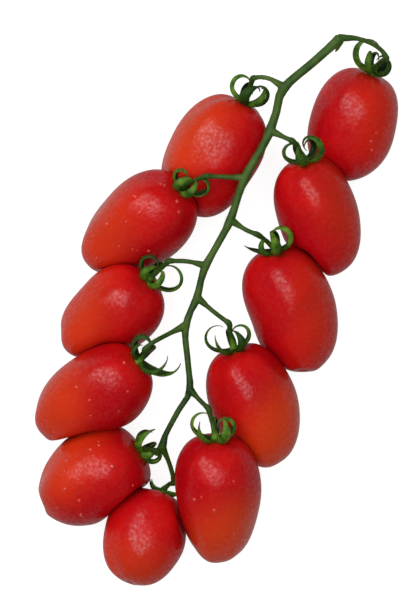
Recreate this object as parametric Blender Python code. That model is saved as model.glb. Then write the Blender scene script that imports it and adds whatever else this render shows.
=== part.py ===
"""Truss of eleven small plum tomatoes, lying on a table with its cut stem end away from the viewer.

The main stem (rachis) runs from the cut end to the last fruit. Fruits hang off it in turn, right and
left, each on its own pedicel. A pedicel breaks at its knuckle, so the short stretch past the knuckle
belongs to the calyx: five sepals that curl back from the fruit. X is to the right, Y runs up the truss
to the cut end, and Z is up. The table is Z = 0. Lengths below are in millimetres.
"""

import math

import bmesh
import bpy
import numpy as np
from mathutils import Vector

MM = 0.001
GAP = 0.3  # clear space between pieces that touch on the real truss
PRESS_GAP = 0.8  # the same where one fruit is pressed hollow by its neighbour

FRUIT_RINGS = 14
FRUIT_SIDES = 20
STEM_SIDES = 10
PEDICEL_SIDES = 8
BLUNT_ALONG = 0.86  # under 1 makes the ends blunter than an ellipsoid's
BLUNT_ACROSS = 0.84
CAVITY_DEPTH = 1.0  # the hollow that the calyx sits in
CAVITY_REACH = 4.0
REST_CUT = 0.12  # the skin flattens this much where a fruit rests on the table

STEM_RADIUS = 1.5  # at the cut end
STEM_TIP_RADIUS = 0.85  # at the last pedicel
STEM_LUMP = 0.35  # extra radius where a pedicel leaves
PEDICEL_RADIUS = 0.75
PEDICEL_FOOT_RADIUS = 1.05  # where it leaves the main stem
KNUCKLE_RADIUS = 1.05
SLANT_ROOM = 0.5  # a pedicel leaves at a slant, so its foot needs this much more room
SPUR_ROOT = (43.0, 92.5, 38.0)  # a dead side shoot's stump, just under the cut end
SPUR_TIP = (42.0, 89.8, 37.0)
SPUR_TAPER = 0.5
HUB_RADIUS = 1.9  # the disc that carries the sepals
HUB_THICK = 1.1
SEPAL_THICK = 0.55
SEPAL_STATIONS = 9
CURL_LATE = 1.4  # over 1 leaves a sepal straighter near the hub
SEPAL_ROOT = 22.0  # half the angle that one sepal takes of the hub, in degrees

# The main stem's course, from the cut end: x, y, z.
STEM_ROUTE = (
    (43.0, 94.0, 38.5),
    (34.0, 86.0, 38.0),
    (23.5, 76.8, 36.0),
    (21.0, 68.5, 34.5),
    (17.5, 59.0, 34.0),
    (12.0, 49.5, 34.5),
    (9.0, 43.0, 34.5),
    (5.0, 31.0, 34.0),
    (0.5, 22.5, 33.5),
    (-4.0, 14.0, 33.0),
    (-6.5, 4.0, 32.5),
    (-8.5, 0.0, 32.5),
    (-10.5, -7.0, 32.5),
    (-9.5, -18.5, 33.0),
    (-9.0, -28.0, 33.5),
    (-13.0, -35.0, 33.0),
    (-17.5, -43.5, 32.0),
    (-18.5, -47.5, 31.0),
)

# One row for each tomato, in order from the cut end.
# stem, tip: the two ends of the fruit in plan. width: across it. tilt: how far the stem end is raised,
# in degrees. lift: how far the fruit is held off the table. leave: where its pedicel leaves the main
# stem. route: points on the way. knuckle: where the pedicel breaks.
TOMATOES = (
    dict(stem=(55.0, 83.5), tip=(41.0, 47.0), width=29.5, tilt=16, lift=0, taper=0.05,
         leave=(42.8, 93.8, 38.5), route=((48.0, 94.2, 38.0), (53.5, 92.7, 36.5), (57.8, 90.0, 34.0)),
         knuckle=(60.0, 86.5, 31.0)),
    dict(stem=(10.0, 73.0), tip=(-11.0, 35.5), width=32.0, tilt=12, lift=0, taper=-0.02,
         leave=(23.5, 77.0, 36.0), route=((19.5, 80.0, 35.5), (15.5, 81.0, 33.0)),
         knuckle=(12.0, 80.5, 30.0)),
    dict(stem=(31.0, 52.5), tip=(40.5, 14.0), width=27.5, tilt=26, lift=5, taper=0.02,
         leave=(19.0, 62.5, 34.2), route=((23.5, 60.2, 34.8),),
         knuckle=(28.0, 58.2, 35.5)),
    dict(stem=(-11.0, 43.5), tip=(-43.0, 17.0), width=30.5, tilt=30, lift=2, taper=0.0,
         leave=(10.2, 46.0, 34.6), route=((3.5, 46.3, 35.2),),
         knuckle=(-4.5, 46.6, 36.0)),
    dict(stem=(20.5, 21.0), tip=(32.0, -20.0), width=30.5, tilt=22, lift=2, taper=0.02,
         leave=(5.2, 31.5, 34.0), route=((10.5, 28.0, 34.0),),
         knuckle=(15.5, 26.0, 33.5)),
    dict(stem=(-22.5, 11.5), tip=(-50.0, -13.0), width=28.5, tilt=28, lift=3, taper=0.0,
         leave=(-3.5, 15.5, 33.2), route=((-9.5, 17.0, 34.5),),
         knuckle=(-17.5, 17.2, 35.5)),
    dict(stem=(6.5, -13.0), tip=(20.5, -54.0), width=29.5, tilt=22, lift=2, taper=0.0,
         leave=(-6.3, 4.5, 32.5), route=((-0.5, -0.5, 32.5),),
         knuckle=(5.8, -5.2, 32.5)),
    dict(stem=(-26.0, -17.0), tip=(-61.0, -43.0), width=28.5, tilt=26, lift=5, taper=0.02,
         leave=(-10.3, -5.2, 32.5), route=((-16.0, -8.0, 34.2), (-22.0, -11.3, 36.4)),
         knuckle=(-25.4, -14.4, 35.8)),
    dict(stem=(0.0, -44.0), tip=(1.5, -88.5), width=28.5, tilt=24, lift=8, taper=0.08,
         leave=(-9.2, -27.0, 33.5), route=((-5.5, -31.0, 35.0),),
         knuckle=(-1.8, -34.5, 36.5)),
    dict(stem=(-26.5, -49.5), tip=(-59.5, -66.5), width=33.0, tilt=8, lift=0, taper=0.04,
         leave=(-18.2, -46.5, 31.0), route=(),
         knuckle=(-20.5, -50.5, 27.5)),
    dict(stem=(-18.5, -64.0), tip=(-30.0, -95.5), width=28.5, tilt=-14, lift=3, taper=0.06,
         leave=(-18.5, -47.5, 31.0), route=((-16.5, -52.0, 28.5), (-15.0, -57.0, 25.0)),
         knuckle=(-14.5, -61.0, 21.5)),
)

# Which fruit presses a hollow into which: (the one pressed, the one on top), counted from 1.
PRESSED = ((1, 3), (3, 5), (5, 7), (7, 9), (11, 9), (2, 4), (4, 6), (6, 8), (8, 10), (10, 11))

# Each calyx's sepals: the angle round the fruit's axis (90 is up), the length, how far it curls back
# and how far it leans sideways, both in degrees, and the width.
CALYCES = (
    ((12, 21.0, 240, 4, 3.2), (78, 15.0, 270, -12, 2.2), (150, 15.0, 330, 0, 2.4),
     (225, 13.0, 280, 5, 2.2), (300, 13.0, 280, -5, 2.2)),
    ((5, 18.0, 300, 0, 2.2), (68, 15.0, 250, 14, 2.8), (128, 14.0, 230, 10, 2.4),
     (190, 18.0, 320, 0, 1.8), (290, 13.0, 280, 0, 2.2)),
    ((358, 17.0, 300, 0, 1.8), (72, 14.0, 240, 0, 2.6), (148, 23.0, 330, 0, 2.4),
     (218, 14.0, 280, 0, 2.0), (290, 13.0, 280, 0, 2.0)),
    ((8, 12.0, 290, 0, 2.0), (66, 14.0, 240, 8, 2.6), (126, 15.0, 260, 0, 2.6),
     (200, 20.0, 320, 0, 2.0), (290, 7.0, 330, 0, 1.8)),
    ((345, 9.5, 50, 0, 2.2), (36, 13.0, 290, 0, 2.0), (98, 17.0, 250, 0, 2.8),
     (165, 20.0, 320, 0, 2.2), (250, 13.0, 280, 0, 2.0)),
    ((8, 17.5, 310, 0, 1.6), (62, 13.0, 240, 0, 2.4), (125, 17.0, 320, 0, 2.2),
     (182, 25.0, 300, 0, 1.5), (285, 13.0, 280, 0, 2.0)),
    ((0, 20.0, 240, 0, 1.5), (58, 13.0, 150, -8, 1.8), (122, 14.0, 230, 0, 2.6),
     (180, 17.0, 290, 0, 1.8), (270, 13.0, 280, 0, 2.0)),
    ((356, 17.0, 290, 0, 2.4), (40, 7.5, 190, -16, 1.8), (134, 17.0, 190, 8, 1.5),
     (188, 17.0, 130, 0, 2.8), (280, 13.0, 280, 0, 2.0)),
    ((356, 19.0, 240, 0, 1.6), (54, 13.0, 140, -6, 2.2), (116, 16.0, 230, 6, 3.0),
     (182, 17.0, 300, 0, 2.4), (270, 13.0, 270, 0, 2.0)),
    ((352, 10.0, 170, 0, 1.5), (58, 14.0, 120, 0, 3.4), (122, 11.0, 280, 0, 2.2),
     (186, 14.0, 320, 0, 2.6), (270, 12.0, 290, 0, 2.0)),
    ((14, 5.0, 80, 0, 2.4), (168, 7.0, 60, 0, 2.4), (220, 8.0, 70, 0, 2.2),
     (268, 8.0, 70, 0, 2.2), (318, 8.0, 70, 0, 2.2)),
)


def skin_material(name, colour, roughness):
    """A Principled material with the piece's own colour; nothing on the truss is metal."""
    material = bpy.data.materials.new(name)
    material.use_nodes = True
    shader = material.node_tree.nodes["Principled BSDF"]
    shader.inputs["Base Color"].default_value = (*colour, 1.0)
    shader.inputs["Roughness"].default_value = roughness
    shader.inputs["Metallic"].default_value = 0.0
    return material


def unit(vector):
    return np.asarray(vector, float) / np.linalg.norm(vector)


def add_object(name, bm, material):
    """Turn a bmesh built in millimetres into a smooth-shaded object in metres."""
    bmesh.ops.recalc_face_normals(bm, faces=bm.faces)
    bmesh.ops.scale(bm, vec=(MM, MM, MM), verts=bm.verts)
    mesh = bpy.data.meshes.new(name)
    bm.to_mesh(mesh)
    bm.free()
    mesh.shade_smooth()
    mesh.set_sharp_from_angle(angle=math.radians(50))
    mesh.materials.append(material)
    piece = bpy.data.objects.new(name, mesh)
    bpy.context.scene.collection.objects.link(piece)
    return piece


def bridge(bm, first, second):
    """Join two rings of the same length with quads."""
    count = len(first)
    for i in range(count):
        j = (i + 1) % count
        bm.faces.new((first[i], first[j], second[j], second[i]))


def smooth_route(points, step):
    """Points about `step` apart on a Catmull-Rom curve through the given ones."""
    points = [np.array(p, float) for p in points]
    padded = [2 * points[0] - points[1], *points, 2 * points[-1] - points[-2]]
    found = []
    for i in range(1, len(padded) - 2):
        a, b, c, d = padded[i - 1 : i + 3]
        pieces = max(1, round(float(np.linalg.norm(c - b)) / step))
        for k in range(pieces):
            t = k / pieces
            found.append(
                0.5 * (2 * b + (c - a) * t + (2 * a - 5 * b + 4 * c - d) * t**2
                       + (3 * b - a - 3 * c + d) * t**3)
            )
    found.append(points[-1])
    return np.array(found)


def tube_rings(bm, route, radii, sides, first_side=None):
    """Rings of vertices round a route, turned as little as possible from one to the next."""
    tangents = np.gradient(route, axis=0)
    side = np.cross(tangents[0], (0, 0, 1)) if first_side is None else np.array(first_side, float)
    rings = []
    for point, tangent, radius in zip(route, tangents, radii):
        along = unit(tangent)
        side = unit(side - along * np.dot(side, along))
        up = np.cross(along, side)
        ring = []
        for k in range(sides):
            turn = 2 * math.pi * k / sides
            ring.append(bm.verts.new(point + radius * (math.cos(turn) * side + math.sin(turn) * up)))
        rings.append(ring)
    return rings


def fruit_frame(row):
    """A fruit's half length, half width, centre in plan and axes; the first axis points to its stem end."""
    stem = np.array((*row["stem"], 0.0))
    tip = np.array((*row["tip"], 0.0))
    level = unit(stem - tip)
    tilt = math.radians(row["tilt"])
    half_width = row["width"] / 2
    half_plan = np.linalg.norm(stem - tip) / 2
    half_length = math.sqrt(half_plan**2 - (half_width * math.sin(tilt)) ** 2) / math.cos(tilt)
    axis = np.array((level[0] * math.cos(tilt), level[1] * math.cos(tilt), math.sin(tilt)))
    side = np.array((-level[1], level[0], 0.0))
    return half_length, half_width, (stem + tip) / 2, np.array((axis, side, np.cross(axis, side)))


def fruit_profile(angle, half_length, half_width, taper):
    """Distance along the axis and from it, for an angle that runs from the stem end to the tip."""
    along = half_length * math.copysign(abs(math.cos(angle)) ** BLUNT_ALONG, math.cos(angle))
    across = half_width * math.sin(angle) ** BLUNT_ACROSS * (1 + taper * math.cos(angle))
    if math.cos(angle) > 0:
        along -= CAVITY_DEPTH * math.exp(-((across / CAVITY_REACH) ** 2))
    return along, across


def fruit_points(row):
    """The fruit's surface points in world millimetres, ring by ring, with a single point at each end."""
    half_length, half_width, centre, axes = fruit_frame(row)
    found = [(fruit_profile(0.0, half_length, half_width, row["taper"])[0], 0.0, 0.0)]
    for i in range(1, FRUIT_RINGS):
        angle = math.pi * i / FRUIT_RINGS
        along, across = fruit_profile(angle, half_length, half_width, row["taper"])
        for k in range(FRUIT_SIDES):
            turn = 2 * math.pi * k / FRUIT_SIDES
            found.append((along, across * math.cos(turn), across * math.sin(turn)))
    found.append((-half_length, 0.0, 0.0))
    points = np.array(found) @ axes
    centre = centre + (0.0, 0.0, row["lift"] - points[:, 2].min() - (REST_CUT if row["lift"] == 0 else 0))
    return points + centre, centre


def depth_inside(point, row, centre):
    """How far a point is inside a fruit, measured across its axis; negative outside."""
    half_length, half_width, _, axes = fruit_frame(row)
    along, side, up = axes @ (point - centre)
    share = min(1.0, abs(along) / (half_length + PRESS_GAP))
    angle = math.acos(share ** (1 / BLUNT_ALONG))
    if along < 0:
        angle = math.pi - angle
    reach = (half_width + PRESS_GAP) * max(math.sin(angle), 0.0) ** BLUNT_ACROSS
    reach *= 1 + row["taper"] * math.cos(angle)
    return reach - math.hypot(side, up)


def press_hollow(points, centre, row_on_top, centre_on_top):
    """Draw points inside the fruit on top towards their own fruit's centre until they are out."""
    for i, point in enumerate(points):
        if depth_inside(point, row_on_top, centre_on_top) <= 0:
            continue
        low, high = 0.0, 1.0
        for _ in range(24):
            middle = (low + high) / 2
            inside = depth_inside(centre + (point - centre) * middle, row_on_top, centre_on_top) > 0
            low, high = (low, middle) if inside else (middle, high)
        points[i] = centre + (point - centre) * low
    return points


def make_fruit(name, points, material):
    bm = bmesh.new()
    verts = [bm.verts.new(p) for p in points]
    rings = []
    for i in range(FRUIT_RINGS - 1):
        start = 1 + i * FRUIT_SIDES
        rings.append(verts[start : start + FRUIT_SIDES])
    for k in range(FRUIT_SIDES):
        following = (k + 1) % FRUIT_SIDES
        bm.faces.new((verts[0], rings[0][following], rings[0][k]))
        bm.faces.new((verts[-1], rings[-1][k], rings[-1][following]))
    for upper, lower in zip(rings, rings[1:]):
        bridge(bm, lower, upper)
    if min(p[2] for p in points) < 0:
        everything = [*bm.verts, *bm.edges, *bm.faces]
        cut = bmesh.ops.bisect_plane(bm, geom=everything, plane_co=(0, 0, 0), plane_no=(0, 0, -1),
                                     clear_outer=True)
        edges = [e for e in cut["geom_cut"] if isinstance(e, bmesh.types.BMEdge)]
        bmesh.ops.edgeloop_fill(bm, edges=edges)
    return add_object(name, bm, material)


def pole_of(row, centre):
    """The middle of the hollow at the fruit's stem end."""
    half_length, half_width, _, axes = fruit_frame(row)
    return centre + axes[0] * fruit_profile(0.0, half_length, half_width, row["taper"])[0]


def sepal_sections(hub, axes, angle, length, curl, lean, widest):
    """Corner points of a sepal's sections, from the hub to its tip."""
    outward, side, up = axes
    turn = math.radians(angle)
    radial = math.cos(turn) * side + math.sin(turn) * up
    across = np.cross(outward, radial)
    point = hub + outward * (GAP + HUB_THICK / 2) + radial * HUB_RADIUS
    step = length / SEPAL_STATIONS
    sections = []
    for i in range(1, SEPAL_STATIONS + 1):
        share = i / SEPAL_STATIONS
        bend = math.radians(curl) * (share - 0.5 / SEPAL_STATIONS) ** CURL_LATE
        along = math.cos(bend) * radial + math.sin(bend) * outward
        along = unit(along + math.tan(math.radians(lean)) * across)
        point = point + along * step
        width = widest * (0.08 + 0.92 * math.sin(math.pi * min(1.0, 0.28 + 0.72 * share)) ** 0.8)
        thick = SEPAL_THICK * (1 - 0.5 * share)
        flat = unit(across - along * np.dot(across, along))
        normal = np.cross(along, flat)
        sections.append([
            point - flat * width / 2 - normal * thick / 2,
            point + flat * width / 2 - normal * thick / 2,
            point + flat * width / 2 + normal * thick / 2,
            point - flat * width / 2 + normal * thick / 2,
        ])
    return sections


def make_calyx(name, row, pole, sepals, material):
    """Hub, five sepals and the end of the pedicel, made as one closed skin."""
    axes = fruit_frame(row)[3]
    outward, side, up = axes
    bm = bmesh.new()
    low_ring, high_ring = [], []
    for angle, *_ in sepals:
        for offset in (-SEPAL_ROOT, SEPAL_ROOT):
            turn = math.radians(angle + offset)
            radial = math.cos(turn) * side + math.sin(turn) * up
            low_ring.append(bm.verts.new(pole + outward * GAP + radial * HUB_RADIUS * 0.8))
            high_ring.append(bm.verts.new(pole + outward * (GAP + HUB_THICK) + radial * HUB_RADIUS))
    bm.faces.new(low_ring)
    count = len(low_ring)
    for i in range(count):
        j = (i + 1) % count
        corners = (low_ring[i], low_ring[j], high_ring[j], high_ring[i])
        if i % 2:
            bm.faces.new(corners)
            continue
        ring = list(corners)
        for section in sepal_sections(pole, axes, *sepals[i // 2]):
            following = [bm.verts.new(p) for p in section]
            bridge(bm, ring, following)
            ring = following
        bm.faces.new(ring)
    neck = pole + outward * (GAP + HUB_THICK + 1.2)
    knuckle = np.array(row["knuckle"])
    route = smooth_route((neck, (neck + knuckle) / 2 + outward * 0.6, knuckle), 1.8)
    radii = np.interp(np.linspace(0, 1, len(route)), (0, 0.5, 1), (1.1, PEDICEL_RADIUS, KNUCKLE_RADIUS))
    start = math.radians(sepals[0][0] - SEPAL_ROOT)
    ring = high_ring
    for following in tube_rings(bm, route, radii, count, math.cos(start) * side + math.sin(start) * up):
        bridge(bm, ring, following)
        ring = following
    bm.faces.new(ring)
    return add_object(name, bm, material)


def make_pedicel(name, row, material):
    """The stretch from the main stem's side to the knuckle."""
    knuckle = np.array(row["knuckle"])
    leave = np.array(row["leave"])
    through = [leave, *row["route"], knuckle]
    route = smooth_route(through, 1.5)
    start = stem_radius_near(leave) + SLANT_ROOM + GAP
    away = np.linalg.norm(route - leave, axis=1)
    back = np.linalg.norm(route - knuckle, axis=1)
    route = route[(away > start) & (back > GAP)]
    spread = np.linspace(0, 1, len(route))
    radii = np.interp(spread, (0, 0.15, 0.85, 1),
                      (PEDICEL_FOOT_RADIUS, PEDICEL_RADIUS, PEDICEL_RADIUS, KNUCKLE_RADIUS))
    bm = bmesh.new()
    rings = tube_rings(bm, route, radii, PEDICEL_SIDES)
    bm.faces.new(rings[0])
    bm.faces.new(rings[-1])
    for first, second in zip(rings, rings[1:]):
        bridge(bm, first, second)
    return add_object(name, bm, material)


def stem_course():
    """The main stem's middle line and its radius at each point."""
    route = smooth_route(STEM_ROUTE, 3.2)
    radii = np.linspace(STEM_RADIUS, STEM_TIP_RADIUS, len(route))
    for row in TOMATOES:
        away = np.linalg.norm(route - np.array(row["leave"]), axis=1)
        radii = radii + STEM_LUMP * np.exp(-((away / 2.5) ** 2))
    return route, radii


def stem_radius_near(point):
    route, radii = stem_course()
    return radii[np.argmin(np.linalg.norm(route - point, axis=1))]


def make_stem(material):
    route, radii = stem_course()
    bm = bmesh.new()
    rings = tube_rings(bm, route, radii, STEM_SIDES)
    bm.faces.new(rings[0])
    bm.faces.new(rings[-1])
    for first, second in zip(rings, rings[1:]):
        bridge(bm, first, second)
    grow_spur(bm)
    return add_object("rachis", bm, material)


def grow_spur(bm):
    """Draw one side face of the main stem out into the stump of a side shoot."""
    root = Vector(SPUR_ROOT)
    sides = [face for face in bm.faces if len(face.verts) == 4]
    face = min(sides, key=lambda side: (side.calc_center_median() - root).length)
    made = bmesh.ops.extrude_discrete_faces(bm, faces=[face])["faces"][0]
    middle = made.calc_center_median()
    for vertex in made.verts:
        vertex.co = Vector(SPUR_TIP) + (vertex.co - middle) * SPUR_TAPER


def clear_scene():
    for piece in list(bpy.data.objects):
        bpy.data.objects.remove(piece, do_unlink=True)


def centre_on_table(pieces):
    """Shift every mesh so that the truss's box is centred on X = Y = 0."""
    corners = np.array([v.co for piece in pieces for v in piece.data.vertices])
    middle = (corners.min(axis=0) + corners.max(axis=0)) / 2
    for piece in pieces:
        for vertex in piece.data.vertices:
            vertex.co.x -= middle[0]
            vertex.co.y -= middle[1]


def main():
    clear_scene()
    red = skin_material("ripe_tomato_skin", (0.48, 0.012, 0.008), 0.32)
    green = skin_material("calyx_green", (0.045, 0.16, 0.015), 0.55)
    stem_green = skin_material("stem_green", (0.05, 0.14, 0.03), 0.6)
    placed = [fruit_points(row) for row in TOMATOES]
    for pressed, on_top in PRESSED:
        points, centre = placed[pressed - 1]
        press_hollow(points, centre, TOMATOES[on_top - 1], placed[on_top - 1][1])
    pieces = [make_stem(stem_green)]
    for number, (row, (points, centre)) in enumerate(zip(TOMATOES, placed), start=1):
        label = f"{number:02d}"
        pieces.append(make_fruit("tomato_" + label, points, red))
        pieces.append(make_calyx("calyx_" + label, row, pole_of(row, centre), CALYCES[number - 1], green))
        pieces.append(make_pedicel("pedicel_" + label, row, stem_green))
    centre_on_table(pieces)


main()
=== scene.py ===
"""Looks of a truss of ripe plum tomatoes that lies on a white light table.

Every piece follows the CAD model: fruits are grown from their own solids, the green skeleton is welded
from the main stem and the pedicels, and each calyx stands on its fruit's stem end. Sizes are in
millimetres, turned to metres by MM, because the frame is in metres.
"""

import math

import bmesh
import bpy
import numpy as np
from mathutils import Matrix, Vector


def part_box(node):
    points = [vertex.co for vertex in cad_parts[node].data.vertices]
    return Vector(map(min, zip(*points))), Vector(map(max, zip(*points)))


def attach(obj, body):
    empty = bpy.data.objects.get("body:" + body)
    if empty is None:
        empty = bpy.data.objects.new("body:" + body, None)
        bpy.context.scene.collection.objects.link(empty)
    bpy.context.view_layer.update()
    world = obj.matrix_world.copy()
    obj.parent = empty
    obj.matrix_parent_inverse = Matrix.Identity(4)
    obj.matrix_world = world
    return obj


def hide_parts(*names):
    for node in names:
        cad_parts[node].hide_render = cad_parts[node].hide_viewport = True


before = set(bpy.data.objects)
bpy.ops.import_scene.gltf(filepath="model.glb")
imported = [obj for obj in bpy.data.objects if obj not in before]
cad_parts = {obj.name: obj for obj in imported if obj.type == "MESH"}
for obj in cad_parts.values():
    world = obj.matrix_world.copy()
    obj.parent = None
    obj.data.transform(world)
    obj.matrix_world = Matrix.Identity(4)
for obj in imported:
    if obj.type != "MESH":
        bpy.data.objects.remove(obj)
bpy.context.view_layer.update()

MM = 0.001
SCENE = bpy.context.scene
TINY = 1e-6

# Camera and light
CAMERA_HEIGHT = 1480 * MM
CAMERA_AIM = (-2.2 * MM, 2.0 * MM)
VIEW_HEIGHT = 214.6 * MM  # what the picture's height spans
SHARP_LEVEL = 20 * MM  # the height above the table where it spans that
SENSOR = 36.0
ROOM_LIGHT = 0.2  # what the dim room adds to the light
ROOM_SEEN = 1.0  # how pale it looks behind the table
TABLE_LIGHT = 0.2  # what the table's own glow adds to the light
TABLE_SEEN = 0.86  # how bright that glow looks

# Fruits
WELD = 0.02 * MM
POLE_EDGES = 18  # only the two ends of a fruit's solid have so many edges
FLAT_TO_QUADS = math.radians(60)  # how uneven two triangles may be and still be joined
FRUIT_LEVELS = 3
SWELL = 1.022  # subdivision draws a round cage in by about this much
LOBES_FROM = 9 * MM  # how far from the axis the lobes stand at their full height
MID_LOBES = 0.45  # how much of that height is left half way along the fruit
DIMPLE_RADIUS = 2.0 * MM
SHOULDER = (6 * MM, 2 * MM)  # between these the skin turns to the colour round the stem
SCAR_RADIUS = 0.8 * MM

# Sepals
SEPAL_STATIONS = 30
SEPAL_ACROSS = 7
SEPAL_THICK = 1.0 * MM
SEPAL_RISE = 10  # how steeply a sepal leaves the hub, in degrees
CURL_LATE = 1.4  # above 1, a sepal curls most towards its tip
SEPAL_TWIST = math.radians(26)
SEPAL_FULLNESS = 1.65  # how wide its leaf opens, against the width of its solid
SEPAL_CUP = 0.38  # how deep its channel is, as a share of its width
VEIN_DEPTH = 0.10  # the groove of its mid vein, as a share of its thickness
VEIN_WIDTH = 0.22
HUB_RADIUS = 1.7 * MM
HUB_HEIGHT = 1.3 * MM
HUB_INSIDE = 0.3  # the share of the hub's radius where a sepal starts

# The end of the pedicel, from the hub to the knuckle
NECK_STATIONS = 26
NECK_SIDES = 16
NECK_STRAIGHT = 2.6 * MM
NECK_STEPS = (0, 0.06, 0.14, 0.26, 0.5, 0.7, 0.85, 1)
NECK_RADII = np.array((1.4, 1.7, 1.6, 1.0, 0.78, 0.84, 1.08, 1.0)) * MM
KNUCKLE_BURIED = 0.9 * MM

# Water: the fruits that are wet, the seed of each one's beads and how many a square metre has
WET_FRUITS = ((1, 4, 7e3), (4, 9, 1.8e4), (8, 2, 8e3), (9, 3, 7e3), (10, 6, 1.2e4))

# Green skeleton
WELD_VOXEL = 0.2 * MM
FOOT_BURIED = 1.2 * MM  # how far a pedicel's foot runs on into the main stem
FOOT_FLARE = 1.35
STEM_SWELL = 0.12 * MM  # smoothing wears the skeleton down by about this much
CUT_REACH = 2.2 * MM
STUB_REACH = 1.7 * MM

# Table and light
TABLE_HALF = 3.0
LAMP_PLACE = (-0.42, 0.34, 1.6)
LAMP_SIZE = (1.15, 3.0)
LAMP_WATTS = 43

# One row for each fruit, from the cut end: how many lobes, where the first lies round the axis in
# degrees, how high they stand in millimetres, the way its paler side faces in plan, how pale that side
# is, the depth of the dimple at the blossom end in millimetres, and where its outline is fuller or
# flatter than an egg's: a way in plan in degrees, a height in millimetres, and how narrow it is.
FRUITS = (
    dict(lobes=3, turn=80, height=0.462, pale=(1.0, 0.2), amount=0.25, dimple=0.3,
         swells=((-45, 1.2, 4), (35, -0.6, 4), (135, 0.4, 4))),
    dict(lobes=4, turn=60, height=0.63, pale=(-1.0, 0.7), amount=0.7, dimple=0.3,
         swells=((128, 0.6, 4), (-50, -0.9, 4), (215, 0.4, 4), (20, 0.5, 4))),
    dict(lobes=3, turn=95, height=0.462, pale=(1.0, 0.3), amount=0.30, dimple=0.3,
         swells=((-55, 1.5, 5), (5, 0.8, 4), (140, 0.9, 5))),
    dict(lobes=3, turn=75, height=0.588, pale=(-1.0, 0.1), amount=0.5, dimple=0.3,
         swells=((219, 1.5, 5), (-21, 1.0, 4), (166, -1.4, 3))),
    dict(lobes=3, turn=100, height=0.525, pale=(1.0, 0.0), amount=0.30, dimple=1.2,
         swells=((11, 0.9, 4), (-55, 1.2, 5), (135, 0.9, 5), (205, -1.1, 4),
                 (-78, -1.8, 150), (-68, 0.5, 60), (-90, 0.5, 60))),
    dict(lobes=4, turn=85, height=0.462, pale=(-1.0, 0.1), amount=0.55, dimple=0.4,
         swells=((-10, 1.2, 4), (218, 1.6, 5), (155, -1.0, 4))),
    dict(lobes=3, turn=85, height=0.63, pale=(0.9, -0.6), amount=0.75, dimple=0.3,
         swells=((24, 1.0, 4), (150, 0.4, 4), (-65, -0.4, 4))),
    dict(lobes=3, turn=75, height=0.525, pale=(-1.0, 0.0), amount=0.55, dimple=0.8,
         swells=((-22, 1.8, 4), (211, -0.7, 4), (150, 0.3, 4))),
    dict(lobes=3, turn=70, height=0.63, pale=(0.5, -1.0), amount=0.7, dimple=0.3,
         swells=((130, 1.5, 5), (23, 0.9, 4), (239, -0.7, 4), (-56, -1.0, 4))),
    dict(lobes=3, turn=90, height=0.735, pale=(-1.0, 0.6), amount=0.55, dimple=1.6,
         swells=((217, 1.7, 4), (20, 1.0, 4), (160, -1.8, 4),
                 (207, -2.0, 120), (197, 0.7, 60), (217, 0.6, 60))),
    dict(lobes=4, turn=80, height=0.462, pale=(-0.3, -1.0), amount=0.45, dimple=0.6,
         swells=((132, 0.9, 4), (-53, -1.2, 4))),
)

# Each calyx's sepals: the angle round the fruit's axis (90 is up), the length in millimetres, how far
# it curls back and how far it leans sideways, both in degrees, and the width in millimetres.
CALYCES = (
    ((12, 21.0, 240, 4, 3.2), (78, 15.0, 270, -12, 2.2), (150, 15.0, 330, 0, 2.4),
     (225, 13.0, 280, 5, 2.2), (300, 13.0, 280, -5, 2.2)),
    ((5, 18.0, 300, 0, 2.2), (68, 15.0, 250, 14, 2.8), (128, 14.0, 230, 10, 2.4),
     (190, 18.0, 320, 0, 1.8), (290, 13.0, 280, 0, 2.2)),
    ((358, 17.0, 300, 0, 1.8), (72, 14.0, 240, 0, 2.6), (148, 23.0, 330, 0, 2.4),
     (218, 14.0, 280, 0, 2.0), (290, 13.0, 280, 0, 2.0)),
    ((8, 12.0, 290, 0, 2.0), (66, 14.0, 240, 8, 2.6), (126, 15.0, 260, 0, 2.6),
     (200, 20.0, 320, 0, 2.0), (290, 7.0, 330, 0, 1.8)),
    ((345, 9.5, 50, 0, 2.2), (36, 13.0, 290, 0, 2.0), (98, 17.0, 250, 0, 2.8),
     (165, 20.0, 320, 0, 2.2), (250, 13.0, 280, 0, 2.0)),
    ((8, 17.5, 310, 0, 1.6), (62, 13.0, 240, 0, 2.4), (125, 17.0, 320, 0, 2.2),
     (182, 25.0, 300, 0, 1.5), (285, 13.0, 280, 0, 2.0)),
    ((0, 20.0, 240, 0, 1.5), (58, 13.0, 150, -8, 1.8), (122, 14.0, 230, 0, 2.6),
     (180, 17.0, 290, 0, 1.8), (270, 13.0, 280, 0, 2.0)),
    ((356, 17.0, 290, 0, 2.4), (40, 7.5, 190, -16, 1.8), (134, 17.0, 190, 8, 1.5),
     (188, 17.0, 130, 0, 2.8), (280, 13.0, 280, 0, 2.0)),
    ((356, 19.0, 240, 0, 1.6), (54, 13.0, 140, -6, 2.2), (116, 16.0, 230, 6, 3.0),
     (182, 17.0, 300, 0, 2.4), (270, 13.0, 270, 0, 2.0)),
    ((352, 10.0, 170, 0, 1.5), (58, 14.0, 120, 0, 3.4), (122, 11.0, 280, 0, 2.2),
     (186, 14.0, 320, 0, 2.6), (270, 12.0, 290, 0, 2.0)),
    ((14, 5.0, 80, 0, 2.4), (168, 7.0, 60, 0, 2.4), (220, 8.0, 70, 0, 2.2),
     (268, 8.0, 70, 0, 2.2), (318, 8.0, 70, 0, 2.2)),
)


# Node trees

def linear(code):
    """A colour socket's value from an sRGB hex code."""
    shares = [int(code[i : i + 2], 16) / 255 for i in (1, 3, 5)]
    return (*[s / 12.92 if s <= 0.04045 else ((s + 0.055) / 1.055) ** 2.4 for s in shares], 1.0)


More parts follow.
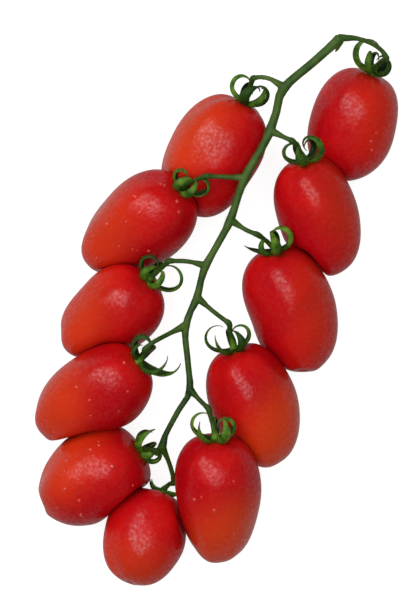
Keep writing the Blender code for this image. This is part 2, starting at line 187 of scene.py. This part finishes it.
def add_node(tree, kind, settings=None, inputs=None):
    """Add a node, set its properties and set or link its inputs."""
    made = tree.nodes.new(kind)
    for name, value in (settings or {}).items():
        setattr(made, name, value)
    for key, value in (inputs or {}).items():
        if isinstance(value, bpy.types.NodeSocket):
            tree.links.new(value, made.inputs[key])
        else:
            made.inputs[key].default_value = value
    return made


def blended(tree, share, first, second):
    """The colour between two, by a share from 0 to 1."""
    return add_node(tree, "ShaderNodeMix", {"data_type": "RGBA"}, {0: share, 6: first, 7: second}).outputs[2]


def stretched(tree, value, low, high, start=0.0, end=1.0):
    """A value mapped from low..high to start..end, and kept inside."""
    inputs = {"Value": value, "From Min": low, "From Max": high, "To Min": start, "To Max": end}
    return add_node(tree, "ShaderNodeMapRange", None, inputs).outputs[0]


def patches(tree, place, size_mm, detail=2.0, distortion=0.0):
    """Soft blotches about size_mm across."""
    inputs = {"Vector": place, "Scale": 1 / (size_mm * MM), "Detail": detail, "Distortion": distortion}
    return add_node(tree, "ShaderNodeTexNoise", None, inputs).outputs["Fac"]


def new_material(name):
    """A material, its tree, its Principled shader and the object's own coordinates."""
    material = bpy.data.materials.new(name)
    material.use_nodes = True
    tree = material.node_tree
    place = add_node(tree, "ShaderNodeTexCoord").outputs["Object"]
    return material, tree, tree.nodes["Principled BSDF"], place


def set_shader(shader, **values):
    for name, value in values.items():
        shader.inputs[name.replace("_", " ")].default_value = value


def painted(tree, name):
    """A value that the mesh carries at its points."""
    return add_node(tree, "ShaderNodeAttribute", {"attribute_name": name}).outputs["Fac"]


# Materials

def ripe_tomato_skin():
    """Ripe tomato skin, a waxy cuticle grown over red flesh: deep, slightly see-through red under a
    clear gloss whose reflections are broken up by tiny swellings."""
    material, tree, shader, place = new_material("ripe_tomato_skin")
    colour = blended(tree, stretched(tree, patches(tree, place, 16), 0.38, 0.62),
                     linear("#AC0610"), linear("#BC0E0E"))
    colour = blended(tree, painted(tree, "pale_side"), colour, linear("#CE4012"))
    colour = blended(tree, painted(tree, "shoulder"), colour, linear("#B8320F"))
    freckle = stretched(tree, patches(tree, place, 1.0, 3.0), 0.62, 0.76, 0.0, 0.12)
    colour = blended(tree, freckle, colour, linear("#CC4C2C"))
    colour = blended(tree, painted(tree, "scar"), colour, linear("#6A3A1C"))
    tree.links.new(colour, shader.inputs["Base Color"])
    dull = stretched(tree, patches(tree, place, 2.2, 3.0), 0.35, 0.7, 0.2, 0.34)
    tree.links.new(dull, shader.inputs["Roughness"])
    swellings = patches(tree, place, 1.0, 2.0)
    bump = add_node(tree, "ShaderNodeBump", None,
                    {"Strength": 0.4, "Distance": 0.12 * MM, "Height": swellings})
    tree.links.new(bump.outputs[0], shader.inputs["Normal"])
    gloss = stretched(tree, patches(tree, place, 1.2, 2.5), 0.42, 0.64, 0.16, 0.55)
    tree.links.new(gloss, shader.inputs["Specular IOR Level"])
    set_shader(shader, IOR=1.4, Subsurface_Weight=0.08,
               Subsurface_Radius=(1.0, 0.15, 0.08), Subsurface_Scale=1.2 * MM)
    return material


def calyx_green():
    """Tomato sepals, grown and fleshy with a felt of short hairs: matt green, each its own tone, with
    painted shade that turns the inner face of the curl nearly black, and yellowing to a dry thread at the
    tips."""
    material, tree, shader, place = new_material("calyx_green")
    colour = blended(tree, stretched(tree, patches(tree, place, 3.0), 0.35, 0.65),
                     linear("#264C0A"), linear("#5E8420"))
    colour = blended(tree, painted(tree, "shade"), colour, linear("#1C3A08"))
    # Painted shade: the inner face of each sepal's curl is darkened nearly to black.
    colour = blended(tree, painted(tree, "painted_curl_shade"), colour, linear("#0A2008"))
    colour = blended(tree, painted(tree, "dry_tip"), colour, linear("#5A5A34"))
    colour = blended(tree, painted(tree, "stalk"), colour, linear("#28440F"))
    tree.links.new(colour, shader.inputs["Base Color"])
    bump = add_node(tree, "ShaderNodeBump", None,
                    {"Strength": 0.5, "Distance": 0.1 * MM, "Height": patches(tree, place, 0.5, 3.0)})
    tree.links.new(bump.outputs[0], shader.inputs["Normal"])
    set_shader(shader, Roughness=0.5, IOR=1.4, Specular_IOR_Level=0.25)
    return material


def stem_green():
    """Tomato stem, grown green and finely haired: matt dark green with lighter blotches, more olive
    towards the cut end."""
    material, tree, shader, place = new_material("stem_green")
    streaks = stretched(tree, patches(tree, place, 6.0, 2.0), 0.3, 0.75)
    old = blended(tree, streaks, linear("#1A3E0A"), linear("#4C6428"))
    young = blended(tree, streaks, linear("#142E06"), linear("#34500E"))
    height = add_node(tree, "ShaderNodeSeparateXYZ", None, {"Vector": place}).outputs["Y"]
    colour = blended(tree, stretched(tree, height, 40 * MM, -30 * MM), old, young)
    tree.links.new(colour, shader.inputs["Base Color"])
    bump = add_node(tree, "ShaderNodeBump", None,
                    {"Strength": 0.5, "Distance": 0.12 * MM, "Height": patches(tree, place, 0.7, 3.0)})
    tree.links.new(bump.outputs[0], shader.inputs["Normal"])
    set_shader(shader, Roughness=0.5, IOR=1.4, Specular_IOR_Level=0.25)
    return material


def cut_pith():
    """The stem's cut end: pale, wet pith that has begun to dry."""
    material, tree, shader, place = new_material("cut_pith")
    colour = blended(tree, stretched(tree, patches(tree, place, 0.6), 0.4, 0.6),
                     linear("#8C9A5A"), linear("#B4B482"))
    tree.links.new(colour, shader.inputs["Base Color"])
    set_shader(shader, Roughness=0.6, IOR=1.4)
    return material


def dried_stub():
    """The stump of a side shoot, dried to a grey green cork."""
    material, tree, shader, place = new_material("dried_stub")
    colour = blended(tree, stretched(tree, patches(tree, place, 0.8), 0.4, 0.6),
                     linear("#5C7048"), linear("#8A9270"))
    tree.links.new(colour, shader.inputs["Base Color"])
    set_shader(shader, Roughness=0.8, IOR=1.45)
    return material


def plant_hair():
    """Fine hairs of the stem and sepals: near colourless threads that catch the light."""
    material, tree, shader, place = new_material("plant_hair")
    colour = blended(tree, stretched(tree, patches(tree, place, 4.0), 0.4, 0.6),
                     linear("#4A6626"), linear("#6C843E"))
    tree.links.new(colour, shader.inputs["Base Color"])
    set_shader(shader, Roughness=0.5, IOR=1.4, Specular_IOR_Level=0.25)
    return material


def water_bead():
    """Beads of rinsing water on the skin: the skin's red seen through the clear water is painted into their
    own colour, and a clear coat adds a sharp glint.
    """
    material, tree, shader, place = new_material("water_bead")
    # Painted refraction: the red skin below, seen through clear water, painted as the beads' own colour.
    colour = blended(tree, patches(tree, place, 2.0), linear("#C02218"), linear("#CE3C2C"))
    tree.links.new(colour, shader.inputs["Base Color"])
    set_shader(shader, Roughness=0.04, IOR=1.33, Coat_Weight=1.0, Coat_Roughness=0.02)
    return material


def light_table():
    """White opal acrylic, lit from below, so that shadows on it stay faint."""
    material, tree, shader, place = new_material("light_table")
    colour = blended(tree, patches(tree, place, 300), linear("#8C8C8C"), linear("#929292"))
    tree.links.new(colour, shader.inputs["Base Color"])
    seen = add_node(tree, "ShaderNodeLightPath").outputs["Is Camera Ray"]
    tree.links.new(stretched(tree, seen, 0.0, 1.0, TABLE_LIGHT, TABLE_SEEN),
                   shader.inputs["Emission Strength"])
    set_shader(shader, Roughness=0.6, Emission_Color=(1, 1, 1, 1))
    return material


# Meshes

def linked(name, mesh):
    piece = bpy.data.objects.new(name, mesh)
    SCENE.collection.objects.link(piece)
    return piece


def plain_mesh(piece):
    """Turn what the piece's modifiers make into its own plain mesh."""
    graph = bpy.context.evaluated_depsgraph_get()
    mesh = bpy.data.meshes.new_from_object(piece.evaluated_get(graph))
    piece.modifiers.clear()
    old = piece.data
    piece.data = mesh
    bpy.data.meshes.remove(old)
    mesh.name = piece.name
    return piece


def from_bmesh(name, bm):
    mesh = bpy.data.meshes.new(name)
    bm.to_mesh(mesh)
    bm.free()
    return linked(name, mesh)


def subdivided(piece, levels):
    modifier = piece.modifiers.new("Subdivision", "SUBSURF")
    modifier.levels = modifier.render_levels = levels
    return plain_mesh(piece)


def points_of(mesh):
    points = np.empty(len(mesh.vertices) * 3)
    mesh.vertices.foreach_get("co", points)
    return points.reshape(-1, 3)


def move_points(mesh, points):
    """Put a mesh's points in new places."""
    mesh.vertices.foreach_set("co", points.ravel())
    mesh.update()


def paint(mesh, name, values):
    """Store a value at each point, for the material to read."""
    mesh.attributes.new(name, "FLOAT", "POINT").data.foreach_set("value", np.asarray(values, np.float32))


def hand_over(piece, slot, materials, *nodes):
    """Give a finished piece its materials and its body, and hide the solids that it stands for; the slot it
    is given is not used.
    """
    piece.data.materials.clear()
    for material in materials:
        piece.data.materials.append(material)
    piece.data.shade_smooth()
    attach(piece, "root")
    if nodes:
        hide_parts(*nodes)


def unit(vector):
    return np.asarray(vector, float) / np.linalg.norm(vector)


def solid_of(node):
    """A welded copy of a CAD node."""
    bm = bmesh.new()
    bm.from_mesh(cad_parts[node].data)
    bmesh.ops.remove_doubles(bm, verts=bm.verts, dist=WELD)
    return bm


# Fruits

def smooth_step(low, high, value):
    """A value's share of the way from low to high, eased at both ends."""
    share = np.clip((value - low) / (high - low), 0, 1)
    return share * share * (3 - 2 * share)


class Fruit:
    """A fruit's solid with its two ends and its axes; the first axis points to its stem end."""

    def __init__(self, number):
        self.label = f"{number:02d}"
        self.solid = solid_of("tomato_" + self.label)
        calyx_middle = sum(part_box("calyx_" + self.label), Vector()) / 2
        ends = [v.co.copy() for v in self.solid.verts if len(v.link_edges) >= POLE_EDGES]
        ends.sort(key=lambda end: (end - calyx_middle).length)
        self.pole = np.array(ends[0])
        self.tip = np.array(ends[-1])
        self.centre = (self.pole + self.tip) / 2
        self.half_length = np.linalg.norm(self.pole - self.tip) / 2
        axis = unit(self.pole - self.tip)
        side = unit((-axis[1], axis[0], 0.0))
        self.axes = np.array((axis, side, np.cross(axis, side)))


def make_fruit(fruit, row, material):
    """A fruit grown from its own solid: rounded, lobed, dimpled at the tip, fuller or flatter in places."""
    bm = fruit.solid
    poles = {v for v in bm.verts if len(v.link_edges) >= POLE_EDGES}
    body = [f for f in bm.faces if not poles & set(f.verts)]
    bmesh.ops.join_triangles(bm, faces=body, angle_face_threshold=FLAT_TO_QUADS,
                             angle_shape_threshold=FLAT_TO_QUADS)
    piece = subdivided(from_bmesh("plum_tomato_" + fruit.label, bm), FRUIT_LEVELS)
    mesh = piece.data
    local = (points_of(mesh) - fruit.centre) * SWELL @ fruit.axes.T
    along = local[:, 0] / fruit.half_length
    reach = np.hypot(local[:, 1], local[:, 2])
    outward = local[:, 1:] / np.maximum(reach, TINY)[:, None]
    turn = np.arctan2(local[:, 2], local[:, 1]) - math.radians(row["turn"])

    lobes = np.cos(row["lobes"] * turn) + 0.5 * np.cos((row["lobes"] + 2) * turn + 1.3)
    lobes *= smooth_step(0.0, LOBES_FROM, reach) * (MID_LOBES + (1 - MID_LOBES) * np.abs(along))
    local[:, 1:] += outward * lobes[:, None] * row["height"] * MM
    blossom = along < -0.5
    dimple = row["dimple"] * MM * np.exp(-((reach / DIMPLE_RADIUS) ** 2))
    crease = 1 + 0.5 * np.cos(2 * turn)
    local[:, 0] += np.where(blossom, dimple * crease, 0)

    points = fruit.centre + local @ fruit.axes
    away = points - fruit.centre
    away /= np.linalg.norm(away, axis=1)[:, None]
    for angle, rise, narrow in row["swells"]:
        way = np.array((math.cos(math.radians(angle)), math.sin(math.radians(angle)), 0.0))
        share = np.maximum(away @ way, 0) ** narrow
        points += away * (share * rise * MM)[:, None]
    points[:, 2] = np.maximum(points[:, 2], 0.0)
    move_points(mesh, points)

    paler = unit((*row["pale"], 0.35))
    paint(mesh, "pale_side", smooth_step(-0.1, 1.0, away @ paler) * row["amount"])
    paint(mesh, "shoulder", smooth_step(*SHOULDER, reach) * (along > 0.5) * 0.5)
    paint(mesh, "scar", smooth_step(SCAR_RADIUS, 0.4 * SCAR_RADIUS, reach) * blossom)
    hand_over(piece, "ripe_tomato_skin", [material], "tomato_" + fruit.label)
    return piece


# Calyces

def curve_through(points, count):
    """`count` points evenly along a Catmull-Rom curve through the given ones."""
    points = [np.array(p, float) for p in points]
    padded = [2 * points[0] - points[1], *points, 2 * points[-1] - points[-2]]
    dense = []
    for a, b, c, d in zip(padded, padded[1:], padded[2:], padded[3:]):
        for t in np.linspace(0, 1, 24, endpoint=False):
            dense.append(0.5 * (2 * b + (c - a) * t + (2 * a - 5 * b + 4 * c - d) * t**2
                                + (3 * b - a - 3 * c + d) * t**3))
    dense = np.array([*dense, points[-1]])
    walked = np.concatenate([[0], np.cumsum(np.linalg.norm(np.diff(dense, axis=0), axis=1))])
    wanted = np.linspace(0, walked[-1], count)
    return np.array([np.interp(wanted, walked, dense[:, k]) for k in range(3)]).T


def skin_rings(bm, rings):
    """Quads between rings of points, closed with a face at both ends. Returns the vertices."""
    rows = [[bm.verts.new(p) for p in ring] for ring in rings]
    count = len(rows[0])
    for first, second in zip(rows, rows[1:]):
        for i in range(count):
            j = (i + 1) % count
            bm.faces.new((first[i], first[j], second[j], second[i]))
    bm.faces.new(rows[0][::-1])
    bm.faces.new(rows[-1])
    return rows


def blade_width(share):
    """A sepal's width at a share of its length: full to the middle, then drawn out to a thread."""
    return float(np.interp(share, (0, 0.12, 0.3, 0.5, 0.68, 0.82, 0.92, 1),
                           (0.72, 0.92, 1.0, 0.86, 0.55, 0.26, 0.14, 0.08)))


def sepal_rings(fruit, angle, length, curl, lean, widest):
    """A sepal's sections from the hub to its tip: a cupped strap that tapers to a thread."""
    outward, side, up = fruit.axes
    turn = math.radians(angle)
    radial = math.cos(turn) * side + math.sin(turn) * up
    across = np.cross(outward, radial)
    point = fruit.pole + outward * HUB_HEIGHT + radial * HUB_RADIUS * HUB_INSIDE
    held = HUB_RADIUS * (1 - HUB_INSIDE)
    run = length * MM + held
    step = run / SEPAL_STATIONS
    strip = np.linspace(-1, 1, SEPAL_ACROSS)
    rings = []
    for i in range(SEPAL_STATIONS + 1):
        share = i / SEPAL_STATIONS
        free = max(0.0, (share * run - held) / (length * MM))
        bend = math.radians(SEPAL_RISE + (curl - SEPAL_RISE) * free**CURL_LATE)
        along = unit(math.cos(bend) * radial + math.sin(bend) * outward
                     + math.tan(math.radians(lean)) * across)
        flat = unit(across - along * np.dot(across, along))
        twist = SEPAL_TWIST * math.sin(6 * share + angle) * share
        normal = np.cross(along, flat)
        flat, normal = (math.cos(twist) * flat + math.sin(twist) * normal,
                        math.cos(twist) * normal - math.sin(twist) * flat)
        width = SEPAL_FULLNESS * widest * MM * blade_width(share)
        thick = SEPAL_THICK * blade_width(share) ** 0.6
        cup = SEPAL_CUP * width * (1 - 0.5 * share)
        floor = cup * (strip**2 - 0.4)
        half = thick / 2 * np.sqrt(1 - 0.9 * strip**2)
        vein = VEIN_DEPTH * thick * np.exp(-((strip / VEIN_WIDTH) ** 2))
        places = np.concatenate((strip, strip[-2:0:-1]))
        lifts = np.concatenate((floor + half - vein, (floor - half)[-2:0:-1]))
        rings.append([point + flat * u * width / 2 + normal * lift for u, lift in zip(places, lifts)])
        point = point + along * step
    return rings


def tube_sections(route, radii, sides, first_side):
    """Round sections along a route, turned as little as possible."""
    tangents = np.gradient(route, axis=0)
    side = np.array(first_side, float)
    sections = []
    for point, tangent, radius in zip(route, tangents, radii):
        along = unit(tangent)
        side = unit(side - along * np.dot(side, along))
        up = np.cross(along, side)
        turns = np.linspace(0, 2 * math.pi, sides, endpoint=False)
        sections.append([point + radius * (math.cos(t) * side + math.sin(t) * up) for t in turns])
    return sections


def make_calyx(fruit, knuckle, sepals, material):
    """Five sepals round a domed hub, with the end of the pedicel up to its knuckle."""
    outward, side, up = fruit.axes
    bm = bmesh.new()
    paintwork = {"dry_tip": [], "painted_curl_shade": [], "stalk": [], "shade": []}
    for row in sepals:
        rings = sepal_rings(fruit, *row)
        skin_rings(bm, rings)
        angle, length = row[:2]
        shade = 0.5 - 0.5 * math.sin(2.3 * angle + 5 * length)  # each sepal has its own
        for i, ring in enumerate(rings):
            for k in range(len(ring)):
                paintwork["dry_tip"].append(float(smooth_step(0.72, 1.0, i / SEPAL_STATIONS)))
                # Painted shade on the inner face of the curl, all but its edge points.
                paintwork["painted_curl_shade"].append(0.85 if 0 < k < SEPAL_ACROSS - 1 else 0.0)
                paintwork["stalk"].append(0.0)
                paintwork["shade"].append(shade)
    neck = fruit.pole + outward * NECK_STRAIGHT
    end, end_axis = knuckle
    route = curve_through((fruit.pole + outward * 0.1 * MM, fruit.pole + outward * HUB_HEIGHT, neck,
                           (neck + end) / 2 + outward * 0.6 * MM, end + end_axis * 0.3 * MM,
                           end - end_axis * KNUCKLE_BURIED), NECK_STATIONS)
    walked = np.linspace(0, 1, NECK_STATIONS)
    skin_rings(bm, tube_sections(route, np.interp(walked, NECK_STEPS, NECK_RADII), NECK_SIDES, side))
    for name in paintwork:
        stalk = smooth_step(0.15, 0.6, walked) if name == "stalk" else 0 * walked
        paintwork[name] += list(np.repeat(stalk, NECK_SIDES))
    bmesh.ops.recalc_face_normals(bm, faces=bm.faces)
    piece = from_bmesh("calyx_with_sepals_" + fruit.label, bm)
    for name, values in paintwork.items():
        paint(piece.data, name, values)
    subdivided(piece, 1)
    hand_over(piece, "calyx_green", [material], "calyx_" + fruit.label)
    return piece


# Green skeleton

def flat_ends(bm, sides):
    """The end faces of a tube's solid, after its flat areas are made single faces."""
    bmesh.ops.dissolve_limit(bm, angle_limit=math.radians(0.5), verts=bm.verts, edges=bm.edges)
    return [face for face in bm.faces if len(face.verts) >= sides]


def make_skeleton(fruits, materials):
    """Main stem and pedicels, welded into one grown skin. Returns it and each fruit's knuckle."""
    skeleton = bmesh.new()
    knuckles = {}
    stem = solid_of("rachis")
    cut_end = max(flat_ends(stem, 10), key=lambda face: face.calc_center_median().y)
    cut_middle, cut_way = cut_end.calc_center_median().copy(), cut_end.normal.copy()
    stub = min(stem.faces, key=lambda face: face.calc_area()).calc_center_median()
    stem_corners = [vertex.co.copy() for vertex in stem.verts]
    mesh = bpy.data.meshes.new("part")
    stem.to_mesh(mesh)
    stem.free()
    skeleton.from_mesh(mesh)
    for fruit in fruits:
        pedicel = solid_of("pedicel_" + fruit.label)
        pole = Vector(fruit.pole)
        ends = sorted(flat_ends(pedicel, 8), key=lambda face: (face.calc_center_median() - pole).length)
        knuckle, foot = ends[0], ends[-1]
        knuckles[fruit.label] = (np.array(knuckle.calc_center_median()), np.array(knuckle.normal))
        middle, way = foot.calc_center_median(), foot.normal.copy()
        reach = min((corner - middle).length for corner in stem_corners) + FOOT_BURIED
        for vertex in foot.verts:
            vertex.co = middle + (vertex.co - middle) * FOOT_FLARE + way * reach
        pedicel.to_mesh(mesh)
        pedicel.free()
        skeleton.from_mesh(mesh)
    bpy.data.meshes.remove(mesh)
    bmesh.ops.triangulate(skeleton, faces=skeleton.faces)
    piece = from_bmesh("rachis_with_pedicels", skeleton)
    remesh = piece.modifiers.new("Weld", "REMESH")
    remesh.mode = "VOXEL"
    remesh.voxel_size = WELD_VOXEL
    smooth = piece.modifiers.new("Even out", "SMOOTH")
    smooth.factor = 0.5
    smooth.iterations = 8
    swell = piece.modifiers.new("Swell", "DISPLACE")
    swell.strength = STEM_SWELL
    swell.mid_level = 0.0
    plain_mesh(piece)
    hand_over(piece, "stem_green", materials, "rachis",
              *["pedicel_" + fruit.label for fruit in fruits])
    for polygon in piece.data.polygons:
        away = polygon.center - cut_middle
        if away.length < CUT_REACH and polygon.normal.dot(cut_way) > 0.8:
            polygon.material_index = 1
        elif (polygon.center - stub).length < STUB_REACH:
            polygon.material_index = 2
    return piece, knuckles


# Hairs and water, grown over a surface by Geometry Nodes

def scatter_tree(name, defaults, shape):
    """A tree that stands a small shape on the surface it is given. `shape(tree, inputs)` makes it."""
    tree = bpy.data.node_groups.new(name, "GeometryNodeTree")
    face = tree.interface
    face.new_socket("Geometry", in_out="INPUT", socket_type="NodeSocketGeometry")
    for socket, value in defaults.items():
        kind = "NodeSocketInt" if isinstance(value, int) else "NodeSocketFloat"
        face.new_socket(socket, in_out="INPUT", socket_type=kind).default_value = value
    face.new_socket("Finish", in_out="INPUT", socket_type="NodeSocketMaterial")
    face.new_socket("Geometry", in_out="OUTPUT", socket_type="NodeSocketGeometry")
    inputs = add_node(tree, "NodeGroupInput").outputs
    normal = add_node(tree, "GeometryNodeInputNormal").outputs[0]
    height = add_node(tree, "ShaderNodeSeparateXYZ", None, {0: normal}).outputs["Z"]
    faces_up = add_node(tree, "FunctionNodeCompare", {"operation": "GREATER_THAN"},
                        {0: height, 1: inputs["Lowest facing"]}).outputs[0]
    points = add_node(tree, "GeometryNodeDistributePointsOnFaces", None,
                      {"Mesh": inputs["Geometry"], "Selection": faces_up,
                       "Density": inputs["Per square metre"], "Seed": inputs["Seed"]})
    lean = add_node(tree, "FunctionNodeRandomValue", {"data_type": "FLOAT_VECTOR"},
                    {0: (-1, -1, -1), 1: (1, 1, 1), "Seed": inputs["Seed"]}).outputs[0]
    leaning = add_node(tree, "ShaderNodeVectorMath", {"operation": "SCALE"},
                       {0: lean, "Scale": inputs["Lean"]}).outputs[0]
    turned = add_node(tree, "FunctionNodeRotateEuler", {"rotation_type": "EULER", "space": "LOCAL"},
                      {"Rotation": points.outputs["Rotation"], "Rotate By": leaning}).outputs[0]
    size = add_node(tree, "FunctionNodeRandomValue", {"data_type": "FLOAT"},
                    {2: inputs["Smallest"], 3: 1.0, "Seed": inputs["Seed"]}).outputs[1]
    copies = add_node(tree, "GeometryNodeInstanceOnPoints", None,
                      {"Points": points.outputs["Points"], "Instance": shape(tree, inputs),
                       "Rotation": turned, "Scale": size}).outputs[0]
    made = add_node(tree, "GeometryNodeRealizeInstances", None, {0: copies}).outputs[0]
    done = add_node(tree, "GeometryNodeSetMaterial", None,
                    {"Geometry": made, "Material": inputs["Finish"]}).outputs[0]
    add_node(tree, "NodeGroupOutput", None, {0: done})
    return tree


def hair_shape(tree, inputs):
    """A thin three-sided spike that stands on its base."""
    return add_node(tree, "GeometryNodeMeshCone", {"fill_type": "NONE"},
                    {"Vertices": 3, "Radius Top": 0.0, "Radius Bottom": inputs["Width"],
                     "Depth": inputs["Length"]}).outputs["Mesh"]


def bead_shape(tree, inputs):
    """A bead of water, flattened where it sits."""
    ball = add_node(tree, "GeometryNodeMeshIcoSphere", None,
                    {"Radius": inputs["Width"], "Subdivisions": 2}).outputs["Mesh"]
    squat = add_node(tree, "GeometryNodeTransform", None, {"Geometry": ball, "Scale": (1, 1, 0.42)})
    return add_node(tree, "GeometryNodeSetShadeSmooth", None, {0: squat.outputs[0]}).outputs[0]


def scattered(name, host, tree, slot, material, **values):
    """Run a scatter tree over a finished piece and keep what it makes as a piece of its own."""
    piece = linked(name, host.data.copy())
    modifier = piece.modifiers.new("Scatter", "NODES")
    modifier.node_group = tree
    for item in tree.interface.items_tree:
        if item.in_out == "INPUT" and item.name == "Finish":
            modifier[item.identifier] = material
        elif item.in_out == "INPUT" and item.name in values:
            modifier[item.identifier] = values[item.name]
    plain_mesh(piece)
    hand_over(piece, slot, [material])
    return piece


def grow_hairs(hosts, material):
    tree = scatter_tree("short_hairs", {"Per square metre": 1.6e6, "Seed": 3, "Lean": 0.5,
                                        "Smallest": 0.5, "Lowest facing": -2.0, "Width": 0.03 * MM,
                                        "Length": 0.7 * MM}, hair_shape)
    for host, slot in hosts:
        scattered("hairs_on_" + host.name, host, tree, slot, material)


def bead_water(fruits, material):
    tree = scatter_tree("water_beads", {"Per square metre": 9e3, "Seed": 5, "Lean": 0.0,
                                        "Smallest": 0.3, "Lowest facing": 0.6, "Width": 0.8 * MM,
                                        "Length": 0.0}, bead_shape)
    for number, seed, dense in WET_FRUITS:
        scattered(f"water_on_tomato_{number:02d}", fruits[number - 1], tree, "ripe_tomato_skin",
                  material, **{"Seed": seed, "Per square metre": dense})


# Table, light and camera

def lay_table(material):
    bm = bmesh.new()
    bmesh.ops.create_grid(bm, x_segments=8, y_segments=8, size=TABLE_HALF)
    table = from_bmesh("light_table", bm)
    table.data.materials.append(material)


def set_light():
    """One long soft box above and to the left, in a dim room that is seen white."""
    data = bpy.data.lights.new("main_soft_box", "AREA")
    data.shape = "RECTANGLE"
    data.size, data.size_y = LAMP_SIZE
    data.energy = LAMP_WATTS
    lamp = linked("main_soft_box", data)
    lamp.location = LAMP_PLACE
    lamp.rotation_euler = (-Vector(LAMP_PLACE)).to_track_quat("-Z", "Y").to_euler()
    world = bpy.data.worlds.new("studio")
    world.use_nodes = True
    tree = world.node_tree
    seen = add_node(tree, "ShaderNodeLightPath").outputs["Is Camera Ray"]
    strength = stretched(tree, seen, 0.0, 1.0, ROOM_LIGHT, ROOM_SEEN)
    tree.links.new(strength, tree.nodes["Background"].inputs["Strength"])
    tree.nodes["Background"].inputs["Color"].default_value = (1, 1, 1, 1)
    SCENE.world = world
    SCENE.view_settings.view_transform = "Standard"


def set_camera():
    data = bpy.data.cameras.new("camera")
    data.sensor_width = SENSOR
    data.lens = SENSOR * (CAMERA_HEIGHT - SHARP_LEVEL) / VIEW_HEIGHT
    camera = linked("camera", data)
    camera.location = (*CAMERA_AIM, CAMERA_HEIGHT)
    SCENE.camera = camera


def main():
    lay_table(light_table())
    set_light()
    set_camera()
    skin, sepal_green, green = ripe_tomato_skin(), calyx_green(), stem_green()
    grown = [Fruit(number + 1) for number in range(len(FRUITS))]
    skeleton, knuckles = make_skeleton(grown, [green, cut_pith(), dried_stub()])
    hairy = [(skeleton, "stem_green")]
    skins = []
    for fruit, row, sepals in zip(grown, FRUITS, CALYCES):
        skins.append(make_fruit(fruit, row, skin))
        hairy.append((make_calyx(fruit, knuckles[fruit.label], sepals, sepal_green), "calyx_green"))
    grow_hairs(hairy, plant_hair())
    bead_water(skins, water_bead())


main()
